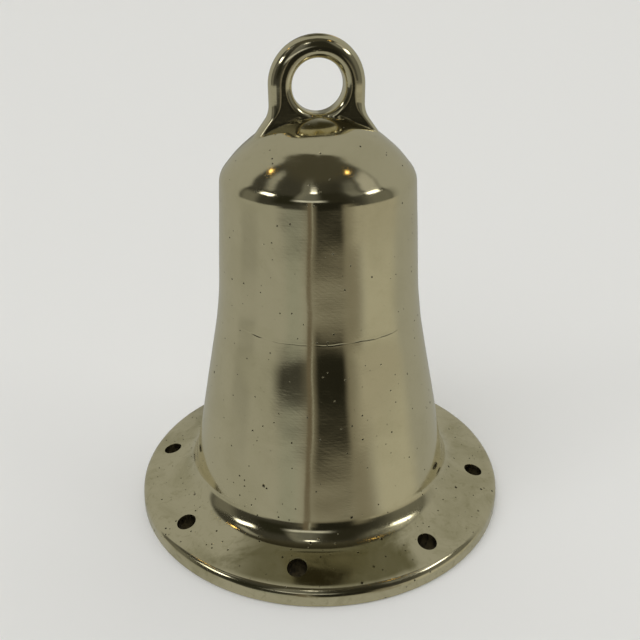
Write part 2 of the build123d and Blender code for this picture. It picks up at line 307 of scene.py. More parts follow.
# %% [markdown]
# ## The outline of the casting
#
# A bell is turned about one axis, so its whole body comes from one outline: the outside from crown to rim,
# across the mouth, and up the inside. The outline is straight runs with rounded corners, worked out from a
# few sizes. It could be a curve with a Screw modifier, but points made in code can be spaced as finely as a
# mirror finish needs, and shared with the holes that follow the flange's slope.

# %% Sizes of the casting
skirt_radius = 73.7 * mm
waist_radius = 51.5 * mm
waist_height = 113.0 * mm
waist_round = 220.0 * mm
shoulder_radius = 47.4 * mm
shoulder_height = waist_height + 68.5 * mm
dome_height = shoulder_height + 26.0 * mm
wall = 6.5 * mm
crown_thickness = 8.0 * mm
flange_radius = cad_box[1][0]
flange_width = flange_radius - skirt_radius
rim_height = 8.7 * mm
flange_slope = radians(13)
root_round = 13.5 * mm
rim_round = 4.5 * mm
foot_break = 0.6 * mm
skirt_slope = (skirt_radius - waist_radius) / waist_height
root_height = (rim_height + flange_width * tan(flange_slope)) / (1 - skirt_slope * tan(flange_slope))
root_radius = skirt_radius - root_height * skirt_slope
dome_middle_radius = 39.5 * mm
dome_middle_height = dome_height - 17.2 * mm
dome_round = 55.0 * mm
shoulder_round = 11.0 * mm
crown_slope = radians(40)
lower_slope = radians(51)
crown_corner = dome_middle_radius - (dome_height - dome_middle_height) / tan(crown_slope)
crown_round = 0.98 * crown_corner / tan(crown_slope / 2)
shoulder_corner = dome_middle_height - (shoulder_radius - dome_middle_radius) * tan(lower_slope)

cavity_height = dome_height - crown_thickness
cavity_shoulder = shoulder_radius - wall
cavity_shoulder_height = shoulder_height - wall * (1 / cos(radians(45)) - 1)
cavity_corner = cavity_shoulder - (cavity_height - cavity_shoulder_height)
cavity_round = 0.98 * cavity_corner / tan(radians(22.5))
mouth_round = 1.5 * mm
cavity_waist_round = 40.0 * mm
cavity_shoulder_round = 7.75 * mm
boss_radius = 15.0 * mm
boss_height = cavity_height - 10.0 * mm
stud_radius = 6.0 * mm
stud_hole_top = boss_height + 15.5 * mm
pole_gap = 0.15 * mm


# %% Outline tools
def rounded_line(corners, rounds, step):
    """Points along straight runs whose inner corners are rounded, no further apart than step."""
    corners = [np.array(corner, float) for corner in corners]
    line = [corners[0]]

    def straight_to(end):
        start = line[-1]
        count = max(1, ceil(np.linalg.norm(end - start) / step))
        line.extend(start + (end - start) * i / count for i in range(1, count + 1))

    for before, corner, after, radius in zip(corners, corners[1:], corners[2:], rounds):
        back = (before - corner) / np.linalg.norm(before - corner)
        on = (after - corner) / np.linalg.norm(after - corner)
        half = acos(np.dot(back, on)) / 2
        reach = radius / tan(half)
        straight_to(corner + back * reach)
        centre = corner + (back + on) / np.linalg.norm(back + on) * radius / sin(half)
        first, last = line[-1] - centre, corner + on * reach - centre
        turn = pi - 2 * half
        count = max(4, ceil(radius * turn / step))
        for i in range(1, count + 1):
            t = i / count
            line.append(centre + (sin((1 - t) * turn) * first + sin(t * turn) * last) / sin(turn))
    straight_to(corners[-1])
    return np.array(line)


fine = 1.0 * mm
coarse = 2.5 * mm
outside = rounded_line(
    [
        (pole_gap, dome_height),
        (crown_corner, dome_height),
        (dome_middle_radius, dome_middle_height),
        (shoulder_radius, shoulder_corner),
        (waist_radius, waist_height),
        (root_radius, root_height),
        (flange_radius, rim_height),
        (flange_radius, foot_break),
        (flange_radius - foot_break, 0),
        (skirt_radius - wall, 0),
    ],
    [
        crown_round, dome_round, shoulder_round, waist_round,
        root_round, rim_round, foot_break / 2, foot_break / 2,
    ],
    fine,
)
inside = rounded_line(
    [
        (skirt_radius - wall + 2 * mm, 0),
        (skirt_radius - wall, 0),
        (waist_radius - wall, waist_height),
        (cavity_shoulder, cavity_shoulder_height),
        (cavity_corner, cavity_height),
        (boss_radius / 2, cavity_height),
    ],
    [mouth_round, cavity_waist_round, cavity_shoulder_round, cavity_round],
    coarse,
)
inside = inside[inside[:, 0] > boss_radius + 0.5 * mm]
inside = inside[inside[:, 0] < skirt_radius - wall + 1.7 * mm]
boss = rounded_line(
    [
        (boss_radius, inside[-1][1]),
        (boss_radius, boss_height),
        (stud_radius, boss_height),
        (stud_radius, stud_hole_top),
        (pole_gap, stud_hole_top),
    ],
    [0.8 * mm, 0.6 * mm, 0.3 * mm],
    coarse,
)
outside = outside[:-1]
print("outline points", len(outside), "outside,", len(inside) + len(boss), "inside")

# %% [markdown]
# ## Turning the body
#
# The outline is turned in 400 steps. The bell was cast in two mould halves that met at the waist, and the
# joint shows as a fine wandering line that was never polished out. The rows of the mesh near the waist are
# bent to follow that line and packed close together, so the groove is cut into the mesh itself.

# %% Mould joint
around = 400
joint_band = 9.0 * mm
joint_rows = np.array([-0.9, -0.55, -0.3, -0.12, 0.0, 0.12, 0.3, 0.55, 0.9]) * mm
joint_place = 0.4 * mm
joint_reach = 1.3 * mm
groove_width = 0.16 * mm
groove_depth = 0.14 * mm
lip_place = 0.45 * mm
lip_width = 0.25 * mm
lip_share = 0.18
# stretches where the joint is open: middle and spread as angles round the bell, and how open
open_stretches = [(-66, 19, 0.85), (-132, 3.0, 1.0), (-92, 6, 0.3), (60, 25, 0.8), (150, 30, 0.6)]


def joint_wander(angle):
    """How far the mould joint strays from the waist at an angle round the bell."""
    slow = 0.55 * np.sin(2 * angle + 0.7) + 0.3 * np.sin(5 * angle + 2.1)
    quick = 0.16 * np.sin(13 * angle + 0.4) + 0.10 * np.sin(29 * angle + 1.9) + 0.05 * np.sin(61 * angle)
    return (slow + quick) * mm + joint_place


def joint_depth(angle):
    """Depth of the joint's groove: open in a few stretches and closed up in the others."""
    depth = np.full(angle.shape, 0.07)
    for middle, spread, share in open_stretches:
        gap = (angle - radians(middle) + pi) % (2 * pi) - pi
        depth += share * np.exp(-((gap / radians(spread)) ** 2))
    broken = 0.75 + 0.25 * np.sin(23 * angle) + 0.2 * np.sin(41 * angle + 1.0)
    return np.clip(depth * broken, 0.03, 1.0) * groove_depth


def with_joint_rows(points):
    """Put the closely packed rows of the joint into the outside outline at the waist."""
    far = np.abs(points[:, 1] - waist_height) > joint_reach
    rise = points[::-1]
    radii = np.interp(waist_height + joint_rows, rise[:, 1], rise[:, 0])
    rows = np.stack([radii, waist_height + joint_rows], 1)[::-1]
    above = points[far & (points[:, 1] > waist_height)]
    below = points[far & (points[:, 1] < waist_height)]
    return np.vstack([above, rows, below])


rim_row = int(np.argmax(outside[:, 0]))
side = with_joint_rows(outside[:rim_row])
outline = np.vstack([side, outside[rim_row:], inside, boss])
outside_rows = len(side) + len(outside) - rim_row
print("rows", len(outline), "joint rows", len(joint_rows))


# %% Turned body
def new_object(name, vertices, faces):
    """A mesh object from lists of points and faces."""
    mesh = bpy.data.meshes.new(name)
    mesh.from_pydata([tuple(v) for v in vertices], [], faces)
    mesh.validate()
    piece = bpy.data.objects.new(name, mesh)
    bpy.context.scene.collection.objects.link(piece)
    return piece


def turned_points(line):
    """The outline's points at every angle: an array of angles by rows by 3."""
    angle = np.arange(around) * 2 * pi / around
    radius = np.broadcast_to(line[:, 0], (around, len(line))).copy()
    height = np.broadcast_to(line[:, 1], (around, len(line))).copy()
    near = np.clip(1 - np.abs(height - waist_height) / joint_band, 0, 1)
    near = near * near * (3 - 2 * near)
    near[:, outside_rows:] = 0
    height += near * joint_wander(angle)[:, None]
    steps = np.abs(line[:, 1] - waist_height)
    groove = np.exp(-((steps / groove_width) ** 2))
    groove[outside_rows:] = 0
    radius -= groove[None, :] * joint_depth(angle)[:, None]
    lip = np.exp(-(((steps - lip_place) / lip_width) ** 2))
    lip[outside_rows:] = 0
    radius += lip[None, :] * joint_depth(angle)[:, None] * lip_share
    return np.stack([radius * np.cos(angle)[:, None], radius * np.sin(angle)[:, None], height], 2)


def grid_faces(rows, columns, close_rows=False):
    """Quads over a grid whose columns close into a ring, numbered column by column."""
    faces = []
    last = rows if close_rows else rows - 1
    for column in range(columns):
        here, beside = column * rows, (column + 1) % columns * rows
        for row in range(last):
            up = (row + 1) % rows
            faces.append((here + row, here + up, beside + up, beside + row))
    return faces


# %% [markdown]
# ## The polisher's hand
#
# Hand polishing leaves a mirror that is not quite true: the surface rolls by a few hundredths of a
# millimetre over a finger's width, and every straight reflection wavers. A displacement texture could do
# this, but a sum of a few smooth waves through space is simple, and it is the same on every piece that it
# crosses. It only ever takes metal away, so the bell keeps its size.

# %% Hand polish
chance = np.random.default_rng(23)
wave_count = 26
wave_lengths = chance.uniform(13, 46, wave_count) * mm
wave_ways = chance.normal(size=(wave_count, 3))
wave_ways /= np.linalg.norm(wave_ways, axis=1)[:, None]
wave_starts = chance.uniform(0, 2 * pi, wave_count)
wave_slope = 0.0046
polish_start = 1 * mm
polish_full = 4 * mm


def hand_polish(points):
    """Metal taken off at each point, in metres, never less than nothing."""
    flat = points.reshape(-1, 3)
    total = np.zeros(len(flat))
    for length, way, start in zip(wave_lengths, wave_ways, wave_starts):
        total += wave_slope * length / (2 * pi) * (1 + np.sin(flat @ way * 2 * pi / length + start))
    return (total - total.min()).reshape(points.shape[:-1]) * 0.5


def outward(points):
    """Outward directions of a turned grid, from its neighbours along and across."""
    along_line = np.gradient(points, axis=1)
    across = np.roll(points, -1, 0) - np.roll(points, 1, 0)
    normal = np.cross(across, along_line)
    length = np.linalg.norm(normal, axis=2, keepdims=True)
    return normal / np.maximum(length, 1e-12)


body_points = turned_points(outline)
body_normals = outward(body_points)
waist_row = int(np.argmin(np.abs(side[:, 1] - waist_height)))
if body_normals[0, waist_row] @ body_points[0, waist_row] < 0:
    body_normals = -body_normals
polished = np.zeros(len(outline))
polished[:outside_rows] = 1
polished *= np.clip((outline[:, 1] - polish_start) / (polish_full - polish_start), 0, 1)
body_points -= body_normals * (hand_polish(body_points) * polished)[:, :, None]
faces = grid_faces(len(outline), around)
rows_now = len(outline)
faces.append(tuple(column * rows_now for column in range(around)))
faces.append(tuple(column * rows_now + rows_now - 1 for column in reversed(range(around))))
bell = new_object("bell_casting_polished", body_points.reshape(-1, 3), faces)
print("body", len(bell.data.vertices), "points; polish takes off up to",
      round(float(hand_polish(body_points).max() / mm), 3), "mm")

# %% [markdown]
# ## The crown eye
#
# The eye is a thick ring with a worn, almost round section. Its two legs spread into the dome. It is built
# round its own bore: at each angle round the bore a rounded loop is drawn from the bore out to the eye's
# outline, and the loops are joined up. Downwards, the outline dips under the dome, so that the eye can be
# fused to the body with no gap.

# %% Eye outline
eye_bore = 12.1 * mm
eye_left = 22.9 * mm
eye_right = 22.2 * mm
eye_top = cad_box[1][2]
saddle = 1.2 * mm
eye_height = dome_height + saddle + eye_bore
eye_crest = eye_top - eye_height
eye_thickness = 13.4 * mm
bore_round = 3.7 * mm
outer_round = 6.5 * mm
leg_drop = 8.6 * mm
flare_radius = 12 * mm
flare_turn = radians(36)
foot_run = 14 * mm
under_dome = 3.2 * mm


def dome_surface(radius):
    """Height of the outside at a distance from the axis, over the crown."""
    crown = outside[outside[:, 1] > shoulder_height]
    return np.interp(radius, crown[:, 0], crown[:, 1])


def eye_outline(eye_side):
    """Half of the eye's outline, from its crest down one leg and under the dome: angles and distances."""
    turn = np.linspace(0, pi / 2, 40)
    line = [np.stack([eye_side * np.sin(turn), eye_crest * np.cos(turn)], 1)]
    drop = np.linspace(0, leg_drop, 10)[1:]
    line.append(np.stack([np.full(len(drop), eye_side), -drop], 1))
    bend = np.linspace(0, flare_turn, 12)[1:]
    spread = eye_side + flare_radius * (1 - np.cos(bend))
    line.append(np.stack([spread, -leg_drop - flare_radius * np.sin(bend)], 1))
    run = np.linspace(0, foot_run, 8)[1:]
    ankle = line[-1][-1]
    line.append(np.stack([ankle[0] + run * sin(flare_turn), ankle[1] - run * cos(flare_turn)], 1))
    foot = line[-1][-1]
    across = np.linspace(1, 0, 30)[1:] * foot[0]
    sole = np.maximum(dome_surface(across) - under_dome - eye_height, foot[1])
    line.append(np.stack([across, sole], 1))
    line = np.vstack(line)
    return np.arctan2(line[:, 0], line[:, 1]), np.hypot(line[:, 0], line[:, 1])


# %% Eye mesh
eye_angles = 288
loop_corner = 12
loop_side = 10


def eye_points():
    """Points of the eye: an array of angles by loop places by 3."""
    angle = np.arange(eye_angles) * 2 * pi / eye_angles
    folded = np.where(angle > pi, 2 * pi - angle, angle)
    reach = np.where(
        angle > pi, np.interp(folded, *eye_outline(eye_left)), np.interp(folded, *eye_outline(eye_right))
    )
    half = eye_thickness / 2
    quarter = np.linspace(0, pi / 2, loop_corner)
    points = []
    for a, r in zip(angle, reach):
        near = eye_bore + bore_round
        outer = min(outer_round, r - near - 0.1 * mm)
        far = r - outer
        flat_near, flat_far = half - bore_round, half - outer
        side_run = np.linspace(near, far, loop_side)[1:-1]
        distance = np.concatenate([
            near - bore_round * np.cos(quarter), side_run, far + outer * np.sin(quarter),
            far + outer * np.cos(quarter), side_run[::-1], near - bore_round * np.sin(quarter),
        ])
        across = np.concatenate([
            flat_near + bore_round * np.sin(quarter), np.full(len(side_run), half),
            flat_far + outer * np.cos(quarter), -flat_far - outer * np.sin(quarter),
            np.full(len(side_run), -half), -flat_near - bore_round * np.cos(quarter),
        ])
        points.append(np.stack([distance * sin(a), across, eye_height + distance * cos(a)], 1))
    return np.array(points)


eye_grid = eye_points()
along_loop = np.roll(eye_grid, -1, 1) - np.roll(eye_grid, 1, 1)
along_ring = np.roll(eye_grid, -1, 0) - np.roll(eye_grid, 1, 0)
eye_normals = np.cross(along_loop, along_ring)
eye_normals /= np.maximum(np.linalg.norm(eye_normals, axis=2, keepdims=True), 1e-12)
if eye_normals[0, loop_corner + loop_side, 2] < 0:
    eye_normals = -eye_normals
eye_grid -= eye_normals * hand_polish(eye_grid)[:, :, None]
eye_faces = grid_faces(eye_grid.shape[1], eye_angles, close_rows=True)
eye = new_object("crown_eye", eye_grid.reshape(-1, 3), eye_faces)
print("eye", len(eye.data.vertices), "points")

# %% [markdown]
# ## Fusing the eye to the body, and drilling the flange
#
# On the real bell the eye is cast in one with the crown, and the eight bolt holes are drilled afterwards.
# Boolean modifiers do the same: a union for the eye, and a difference for each drill. A drill here is a
# lathe shape whose collar follows the flange's slope, so that every hole gets an even broken edge.

# %% Drills
bolt_count = 8
bolt_circle = 87.0 * mm
bolt_radius = 4.75 * mm
first_bolt = radians(30)
hole_break = 0.45 * mm
drill_steps = 64


def flange_surface(radius):
    """Height of the flange's top at a distance from the axis."""
    top = outside[: rim_row + 1]
    top = top[top[:, 1] < waist_height]
    return np.interp(radius, top[:, 0], top[:, 1])


def drill(number):
    """A closed drill for one bolt hole, with a collar that breaks the hole's edge at the flange's top."""
    place = first_bolt + number * 2 * pi / bolt_count
    middle = np.array([bolt_circle * cos(place), bolt_circle * sin(place)])
    turn = np.arange(drill_steps) * 2 * pi / drill_steps
    way = np.stack([np.cos(turn), np.sin(turn)], 1)
    rings = []
    for reach, height, on_top in (
        (bolt_radius + 3 * hole_break, -3 * hole_break, False),
        (bolt_radius + hole_break, 0.0, False),
        (bolt_radius, hole_break, False),
        (bolt_radius, -hole_break, True),
        (bolt_radius + 0.3 * hole_break, -0.3 * hole_break, True),
        (bolt_radius + hole_break, 0.02 * mm, True),
        (bolt_radius + 4 * hole_break, 4 * hole_break, True),
    ):
        flat = middle + way * reach
        base = flange_surface(np.hypot(flat[:, 0], flat[:, 1])) if on_top else 0.0
        rings.append(np.column_stack([flat, np.broadcast_to(base + height, drill_steps)]))
    points = np.array(rings).transpose(1, 0, 2)
    faces = grid_faces(len(rings), drill_steps)
    faces.append(tuple(step * len(rings) for step in range(drill_steps)))
    faces.append(tuple(step * len(rings) + len(rings) - 1 for step in reversed(range(drill_steps))))
    return new_object(f"drill_{number}", points.reshape(-1, 3), faces)


def face_outwards(piece):
    """Turn every face of a closed mesh outwards."""
    work = bmesh.new()
    work.from_mesh(piece.data)
    bmesh.ops.recalc_face_normals(work, faces=work.faces)
    work.to_mesh(piece.data)
    work.free()


def boolean(piece, tool, operation):
    """Apply one boolean to a piece and throw the tool away."""
    face_outwards(tool)
    step = piece.modifiers.new(operation.lower(), "BOOLEAN")
    step.object = tool
    step.operation = operation
    step.solver = "MANIFOLD"
    bpy.context.view_layer.update()
    made = bpy.data.meshes.new_from_object(piece.evaluated_get(bpy.context.evaluated_depsgraph_get()))
    piece.modifiers.clear()
    made.name = piece.data.name
    piece.data = made
    bpy.data.objects.remove(tool)


# %% Fuse and drill
face_outwards(bell)
boolean(bell, eye, "UNION")
for number in range(bolt_count):
    boolean(bell, drill(number), "DIFFERENCE")
print("bell", len(bell.data.vertices), "points,", len(bell.data.polygons), "faces")

# %% [markdown]
# ## Fettling the casting
#
# The corner between eye and dome is filed to a small hollow after casting. The points near the fused corner
# are found by the sharp angle between their faces and eased a few times, which gives that hollow. Edges
# that are really sharp, at the drilled holes and the mouth, are then marked so that they stay crisp.

# %% Ease the eye's root
crease_angle = radians(22)
ease_rings = 3
ease_steps = 5


def ease_root(piece):
    """Round the corner where the eye meets the dome."""
    work = bmesh.new()
    work.from_mesh(piece.data)
    bmesh.ops.triangulate(work, faces=[f for f in work.faces if len(f.verts) > 4])
    corner = set()
    for edge in work.edges:
        high = edge.verts[0].co.z > shoulder_height + 3 * mm
        if high and len(edge.link_faces) == 2 and edge.calc_face_angle(0) > crease_angle:
            corner.update(edge.verts)
    corner = {v for v in corner if abs(v.co.y) < eye_thickness and v.co.z < eye_height - 4 * mm}
    near = set(corner)
    for _ in range(ease_rings):
        near |= {edge.other_vert(v) for v in near for edge in v.link_edges}
    for _ in range(ease_steps):
        bmesh.ops.smooth_vert(
            work, verts=list(near), factor=0.5, use_axis_x=True, use_axis_y=True, use_axis_z=True
        )
    work.to_mesh(piece.data)
    work.free()
    return len(corner), len(near)


print("eased points", ease_root(bell))

# %% Smooth shading with crisp edges
sharp_angle = radians(24)


def crisp(piece):
    """Smooth shading everywhere but across edges that turn more than the sharp angle."""
    piece.data.polygons.foreach_set("use_smooth", [True] * len(piece.data.polygons))
    piece.data.set_sharp_from_angle(angle=sharp_angle)


crisp(bell)
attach(bell, "bell")
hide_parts("bell_casting")
print("bell box", [[round(v, 5) for v in c] for c in (np.min(bell.bound_box, 0), np.max(bell.bound_box, 0))])

# %% [markdown]
# ## Marks of making and use
#
# Three effects turn a plain metal into this bell's metal. Casting pits are small round holes of many sizes,
# from gas in the mould. Polishing lines are fine scratches that run round the bell. Tarnish is a dull film
# that spreads in clouds. Each is a node group with named sockets, so every finish below can take it in its
# own strength.

# %% Pit group
pit_group, given, put = node_group(
    "casting_pits",
    [("Place", VECTOR, None), ("Spacing", NUMBER, 0.004), ("Share", NUMBER, 0.4), ("Size", NUMBER, 0.16)],
    [("Mask", NUMBER), ("Height", NUMBER)],
)
per_metre = calculate(pit_group, "DIVIDE", 1.0, given["Spacing"])
cells = add_node(pit_group, "ShaderNodeTexVoronoi", {"Vector": given["Place"], "Scale": per_metre})
cell_chance = add_node(pit_group, "ShaderNodeSeparateColor", {0: cells.outputs["Color"]}).outputs
wobble = add_node(pit_group, "ShaderNodeTexNoise", {"Vector": given["Place"], "Scale": 1600.0}).outputs[0]
pit_size = calculate(pit_group, "MULTIPLY", calculate(pit_group, "POWER", cell_chance[0], 1.4), given["Size"])
pit_size = calculate(pit_group, "MULTIPLY", pit_size, calculate(pit_group, "ADD", wobble, 0.6))
chosen = calculate(pit_group, "LESS_THAN", cell_chance[1], given["Share"])
pit_size = calculate(pit_group, "MULTIPLY", pit_size, chosen)
pit_edge = calculate(pit_group, "MULTIPLY", pit_size, 0.55)
past_edge = calculate(pit_group, "SUBTRACT", cells.outputs["Distance"], pit_edge)
edge_width = calculate(pit_group, "ADD", calculate(pit_group, "SUBTRACT", pit_size, pit_edge), 0.004)
past_edge = calculate(pit_group, "DIVIDE", past_edge, edge_width)
pit_mask = calculate(pit_group, "SUBTRACT", 1.0, past_edge, clamp=True)
pit_mask = calculate(pit_group, "MULTIPLY", pit_mask, chosen)
pit_group.links.new(pit_mask, put["Mask"])
pit_group.links.new(calculate(pit_group, "MULTIPLY", pit_mask, -1.0), put["Height"])
print("group", pit_group.name)

# %% Line group
line_group, given, put = node_group(
    "polishing_lines",
    [("Place", VECTOR, None), ("Fineness", NUMBER, 900.0), ("Slant", NUMBER, 0.35)],
    [("Height", NUMBER), ("Streak", NUMBER)],
)
parts = add_node(line_group, "ShaderNodeSeparateXYZ", {0: given["Place"]}).outputs
round_angle = calculate(line_group, "ARCTAN2", parts["Y"], parts["X"])


def line_layer(per_turn, fineness, slant, detail):
    """Noise drawn out round the bell: slow along a turn, quick up the side."""
    rise = calculate(line_group, "MULTIPLY", parts["Z"], fineness)
    rise = calculate(line_group, "MULTIPLY_ADD", round_angle, slant, rise)
    ring_x = calculate(line_group, "MULTIPLY", calculate(line_group, "COSINE", round_angle), per_turn)
    ring_y = calculate(line_group, "MULTIPLY", calculate(line_group, "SINE", round_angle), per_turn)
    place = add_node(line_group, "ShaderNodeCombineXYZ", {0: ring_x, 1: ring_y, 2: rise}).outputs[0]
    inputs = {"Vector": place, "Scale": 1.0, "Detail": detail}
    return add_node(line_group, "ShaderNodeTexNoise", inputs).outputs[0]


fine_lines = line_layer(7.0, given["Fineness"], 0.0, 2.0)
slant_up = calculate(line_group, "MULTIPLY", given["Slant"], 60.0)
half_fine = calculate(line_group, "MULTIPLY", given["Fineness"], 0.55)
slant_lines = line_layer(14.0, half_fine, slant_up, 1.0)
line_group.links.new(calculate(line_group, "ADD", fine_lines, slant_lines), put["Height"])
line_group.links.new(smooth_step(line_group, fine_lines, 0.55, 0.75), put["Streak"])
print("group", line_group.name)

# %% Cloud group
cloud_group, given, put = node_group(
    "tarnish_clouds",
    [("Place", VECTOR, None), ("Scale", NUMBER, 30.0), ("Low", NUMBER, 0.45), ("High", NUMBER, 0.7)],
    [("Mask", NUMBER)],
)
cloud = add_node(
    cloud_group, "ShaderNodeTexNoise",
    {"Vector": given["Place"], "Scale": given["Scale"], "Detail": 5.0, "Roughness": 0.6, "Distortion": 0.6},
)
cloud_mask = smooth_step(cloud_group, cloud.outputs[0], given["Low"], given["High"])
cloud_group.links.new(cloud_mask, put["Mask"])
print("group", cloud_group.name)

# %% [markdown]
# ## The polished cast brass
#
# The body's finish is a nearly true mirror of a pale brass, a little rougher in the patches that were rubbed
# less. An olive film lies over it in clouds, most on the flange, where the pits are thickest too. The dark
# patch across the front of the flange isn't a mark on the metal. It stands in for the dark of a room that the
# painted studio can't show there, so a user who lights the bell in another way should leave it out. All of
# it is placed by the bell's own coordinates, so nothing slides when the bell is looked at from elsewhere.

# %% Metal helper
def metal(name, colour, roughness):
    """A new material with a plain metal shader. Returns it, its tree, its shader and its place socket."""
    material = bpy.data.materials.new(name)
    material.use_nodes = True
    tree = material.node_tree
    shader = tree.nodes["Principled BSDF"]
    shader.inputs["Base Color"].default_value = (*colour, 1)
    shader.inputs["Metallic"].default_value = 1.0
    shader.inputs["Roughness"].default_value = roughness
    place = add_node(tree, "ShaderNodeTexCoord").outputs["Object"]
    return material, tree, shader, place


def bump(tree, height, distance, strength=1.0, normal=None):
    """Turn a height into a bent normal."""
    inputs = {"Height": height, "Distance": distance, "Strength": strength}
    if normal is not None:
        inputs["Normal"] = normal
    return add_node(tree, "ShaderNodeBump", inputs).outputs[0]


# %% Polished cast brass
brass_colour = (0.80, 0.735, 0.515)
film_colour = (0.42, 0.385, 0.20, 1)
# colour of the painted reflection: the dark of the room, painted onto the flange's front
painted_reflection_colour = (0.19, 0.165, 0.065, 1)
pit_colour = (0.045, 0.037, 0.022, 1)


def front_painted_reflection(tree, place, up, clouds):
    """Mask of the dark patch on the flange's front: a painted reflection of the dark room, not a mark on the
    metal.
    """
    flat = add_node(tree, "ShaderNodeVectorMath", {0: place, 1: (1, 1, 0)}, operation="MULTIPLY").outputs[0]
    way = add_node(tree, "ShaderNodeVectorMath", {0: flat}, operation="NORMALIZE").outputs[0]
    inputs = {0: way, 1: tuple(towards_camera)}
    front = add_node(tree, "ShaderNodeVectorMath", inputs, operation="DOT_PRODUCT").outputs["Value"]
    front = calculate(tree, "MULTIPLY_ADD", calculate(tree, "SUBTRACT", clouds, 0.5), 0.07, front)
    below_root = smooth_step(tree, up, 16 * mm, 14 * mm)
    above_rim = smooth_step(tree, up, 9.0 * mm, 9.8 * mm)
    painted_reflection = calculate(tree, "MULTIPLY", smooth_step(tree, front, 0.80, 0.92), below_root)
    return calculate(tree, "MULTIPLY", painted_reflection, above_rim)


def polished_cast_brass():
    """The outside of the bell."""
    material, tree, shader, place = metal("polished_cast_brass", brass_colour, 0.1)
    up = add_node(tree, "ShaderNodeSeparateXYZ", {0: place}).outputs["Z"]
    on_flange = smooth_step(tree, up, 30 * mm, 13 * mm)

    small_share = calculate(tree, "MULTIPLY_ADD", on_flange, 0.30, 0.34)
    small = use_group(tree, pit_group, Place=place, Spacing=2.6 * mm, Share=small_share, Size=0.20)
    large_share = calculate(tree, "MULTIPLY_ADD", on_flange, 0.45, 0.22)
    large = use_group(tree, pit_group, Place=place, Spacing=7 * mm, Share=large_share, Size=0.12)
    pits = calculate(tree, "MAXIMUM", small["Mask"], large["Mask"])

    clouds = use_group(tree, cloud_group, Place=place, Scale=38.0, Low=0.42, High=0.72)
    specks = use_group(tree, cloud_group, Place=place, Scale=240.0, Low=0.52, High=0.70)
    film = calculate(tree, "MULTIPLY", clouds["Mask"], calculate(tree, "MULTIPLY_ADD", on_flange, 0.30, 0.12))
    speck_share = calculate(tree, "MULTIPLY_ADD", on_flange, 0.2, 0.05)
    film = calculate(tree, "MULTIPLY_ADD", specks["Mask"], speck_share, film)
    colour = mix_colours(tree, film, (*brass_colour, 1), film_colour)
    # painted reflection: the flange's front is darkened where the dark of the room would be mirrored
    painted_reflection = front_painted_reflection(tree, place, up, clouds["Mask"])
    colour = mix_colours(tree, calculate(tree, "MULTIPLY", painted_reflection, 0.8), colour, painted_reflection_colour)
    colour = mix_colours(tree, calculate(tree, "MULTIPLY", pits, 0.92), colour, pit_colour)
    tree.links.new(colour, shader.inputs["Base Color"])

    lines = use_group(tree, line_group, Place=place, Fineness=1300.0, Slant=0.4)
    rubbed = use_group(tree, cloud_group, Place=place, Scale=26.0, Low=0.38, High=0.66)
    rough = calculate(tree, "MULTIPLY_ADD", rubbed["Mask"], 0.035, 0.07)
    rough = calculate(tree, "MULTIPLY_ADD", lines["Streak"], 0.04, rough)
    rough = calculate(tree, "MULTIPLY_ADD", film, 0.25, rough)
    rough = calculate(tree, "MULTIPLY_ADD", pits, 0.4, rough)
    tree.links.new(rough, shader.inputs["Roughness"])

    line_share = calculate(tree, "MULTIPLY_ADD", rubbed["Mask"], 0.8, 0.2)
    line_height = calculate(tree, "MULTIPLY", lines["Height"], line_share)
    normal = bump(tree, line_height, 0.011 * mm)
    normal = bump(tree, pits, -0.15 * mm, normal=normal)
    tree.links.new(normal, shader.inputs["Normal"])
    return material


# %% [markdown]
# ## Inside, and in the holes
#
# Nobody polishes the inside of a bell. It keeps the skin of the sand mould: rough, brown and uneven. The bolt
# holes were drilled, and their walls are painted dark as painted shade for the inside of a hole. Both are
# finishes of the same casting, so they are given to faces of the same mesh, picked out by where they lie.

# %% Sand-cast skin and drilled walls
def sand_cast_skin():
    """The inside of the bell: the grain of the sand mould under a brown film."""
    material, tree, shader, place = metal("sand_cast_skin", (0.36, 0.29, 0.15), 0.55)
    clouds = use_group(tree, cloud_group, Place=place, Scale=45.0, Low=0.35, High=0.7)
    colour = mix_colours(tree, clouds["Mask"], (0.40, 0.32, 0.17, 1), (0.15, 0.115, 0.06, 1))
    tree.links.new(colour, shader.inputs["Base Color"])
    tree.links.new(calculate(tree, "MULTIPLY_ADD", clouds["Mask"], 0.2, 0.45), shader.inputs["Roughness"])
    grain = add_node(tree, "ShaderNodeTexNoise", {"Vector": place, "Scale": 900.0, "Detail": 4.0}).outputs[0]
    lumps = add_node(tree, "ShaderNodeTexNoise", {"Vector": place, "Scale": 160.0, "Detail": 3.0}).outputs[0]
    normal = bump(tree, grain, 0.25 * mm)
    normal = bump(tree, lumps, 0.5 * mm, normal=normal)
    tree.links.new(normal, shader.inputs["Normal"])
    return material


def painted_shade_drilled_wall():
    """The wall of a bolt hole: drill rings, and a dark colour that is painted shade."""
    material, tree, shader, place = metal("painted_shade_drilled_wall", (0.10, 0.08, 0.045), 0.5)
    clouds = use_group(tree, cloud_group, Place=place, Scale=300.0, Low=0.4, High=0.7)
    # painted shade: the hole's wall is coloured dark for the shade inside the hole, with darker clouds
    # through it
    colour = mix_colours(tree, clouds["Mask"], (0.12, 0.095, 0.05, 1), (0.03, 0.025, 0.015, 1))
    tree.links.new(colour, shader.inputs["Base Color"])
    up = add_node(tree, "ShaderNodeSeparateXYZ", {0: place}).outputs["Z"]
    rings = calculate(tree, "SINE", calculate(tree, "MULTIPLY", up, 2 * pi / (0.6 * mm)))
    tree.links.new(bump(tree, rings, 0.03 * mm), shader.inputs["Normal"])
    return material


finishes = [polished_cast_brass(), sand_cast_skin(), painted_shade_drilled_wall()]
bell.data.materials.clear()
for finish in finishes:
    bell.data.materials.append(finish)


skin_depth = 0.4 * wall
crown_skin = 2.5 * mm
hole_skin = 0.05 * mm


